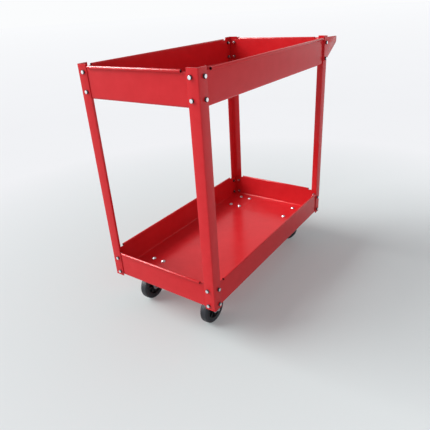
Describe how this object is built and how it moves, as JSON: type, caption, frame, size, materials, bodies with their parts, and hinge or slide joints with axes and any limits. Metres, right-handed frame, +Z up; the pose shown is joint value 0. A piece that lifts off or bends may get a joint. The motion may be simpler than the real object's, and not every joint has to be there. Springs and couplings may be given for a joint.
{
  "type": "two-tray tool cart",
  "caption": "Two-tray steel tool cart with angle legs, bolted folded trays, a push handle on side brackets, rigid front casters and swivel rear casters.",
  "frame": {"origin": "on the floor under the middle of the cart's box", "axes": "+X along the cart towards the push handle at the rear, +Y towards the right side of the person who pushes, +Z up"},
  "size_m": [0.8446, 0.423, 0.7958],
  "materials": {
    "red_enamel": "gloss",
    "zinc_plate": "bright zinc plated",
    "black_rubber": "satin",
    "dark_polypropylene": "satin"
  },
  "bodies": {
    "cart_frame": {"upper_tray": "red_enamel", "lower_tray": "red_enamel", "leg_front_left": "red_enamel", "leg_rear_left": "red_enamel", "leg_rear_right": "red_enamel", "leg_front_right": "red_enamel", "push_handle": "red_enamel", "bolt_upper_front_left_end_high": "zinc_plate", "bolt_upper_front_left_end_low": "zinc_plate", "bolt_upper_front_left_side_high": "zinc_plate", "bolt_upper_front_left_side_low": "zinc_plate", "bolt_upper_rear_left_end_high": "zinc_plate", "bolt_upper_rear_left_end_low": "zinc_plate", "bolt_upper_rear_left_side_high": "zinc_plate", "bolt_upper_rear_left_side_low": "zinc_plate", "bolt_upper_rear_right_end_high": "zinc_plate", "bolt_upper_rear_right_end_low": "zinc_plate", "bolt_upper_rear_right_side_high": "zinc_plate", "bolt_upper_rear_right_side_low": "zinc_plate", "bolt_upper_front_right_end_high": "zinc_plate", "bolt_upper_front_right_end_low": "zinc_plate", "bolt_upper_front_right_side_high": "zinc_plate", "bolt_upper_front_right_side_low": "zinc_plate", "bolt_lower_front_left_end_high": "zinc_plate", "bolt_lower_front_left_end_low": "zinc_plate", "bolt_lower_front_left_side_high": "zinc_plate", "bolt_lower_front_left_side_low": "zinc_plate", "bolt_lower_rear_left_end_high": "zinc_plate", "bolt_lower_rear_left_end_low": "zinc_plate", "bolt_lower_rear_left_side_high": "zinc_plate", "bolt_lower_rear_left_side_low": "zinc_plate", "bolt_lower_rear_right_end_high": "zinc_plate", "bolt_lower_rear_right_end_low": "zinc_plate", "bolt_lower_rear_right_side_high": "zinc_plate", "bolt_lower_rear_right_side_low": "zinc_plate", "bolt_lower_front_right_end_high": "zinc_plate", "bolt_lower_front_right_end_low": "zinc_plate", "bolt_lower_front_right_side_high": "zinc_plate", "bolt_lower_front_right_side_low": "zinc_plate", "caster_bracket_front_left": "zinc_plate", "axle_front_left": "zinc_plate", "caster_bracket_front_right": "zinc_plate", "axle_front_right": "zinc_plate", "caster_plate_rear_left": "zinc_plate", "kingpin_rear_left": "zinc_plate", "caster_plate_rear_right": "zinc_plate", "kingpin_rear_right": "zinc_plate"},
    "swivel_rear_left": {"caster_fork_rear_left": "zinc_plate", "axle_rear_left": "zinc_plate"},
    "swivel_rear_right": {"caster_fork_rear_right": "zinc_plate", "axle_rear_right": "zinc_plate"},
    "wheel_front_left": {"wheel_core_front_left": "dark_polypropylene", "tyre_front_left": "black_rubber"},
    "wheel_front_right": {"wheel_core_front_right": "dark_polypropylene", "tyre_front_right": "black_rubber"},
    "wheel_rear_left": {"wheel_core_rear_left": "dark_polypropylene", "tyre_rear_left": "black_rubber"},
    "wheel_rear_right": {"wheel_core_rear_right": "dark_polypropylene", "tyre_rear_right": "black_rubber"}
  },
  "joints": [
    {"name": "rear_left_swivel", "type": "hinge", "parent": "cart_frame", "child": "swivel_rear_left", "pos_m": [0.26065, -0.1267, 0.1], "axis": [0, 0, 1], "continuous": true},
    {"name": "rear_right_swivel", "type": "hinge", "parent": "cart_frame", "child": "swivel_rear_right", "pos_m": [0.26065, 0.1267, 0.1], "axis": [0, 0, 1], "continuous": true},
    {"name": "front_left_wheel_spin", "type": "hinge", "parent": "cart_frame", "child": "wheel_front_left", "pos_m": [-0.33215, -0.1267, 0.05], "axis": [0, 1, 0], "continuous": true},
    {"name": "front_right_wheel_spin", "type": "hinge", "parent": "cart_frame", "child": "wheel_front_right", "pos_m": [-0.33215, 0.1267, 0.05], "axis": [0, 1, 0], "continuous": true},
    {"name": "rear_left_wheel_spin", "type": "hinge", "parent": "swivel_rear_left", "child": "wheel_rear_left", "pos_m": [0.26065, -0.0927, 0.05], "axis": [1, 0, 0], "continuous": true},
    {"name": "rear_right_wheel_spin", "type": "hinge", "parent": "swivel_rear_right", "child": "wheel_rear_right", "pos_m": [0.26065, 0.1607, 0.05], "axis": [1, 0, 0], "continuous": true}
  ]
}
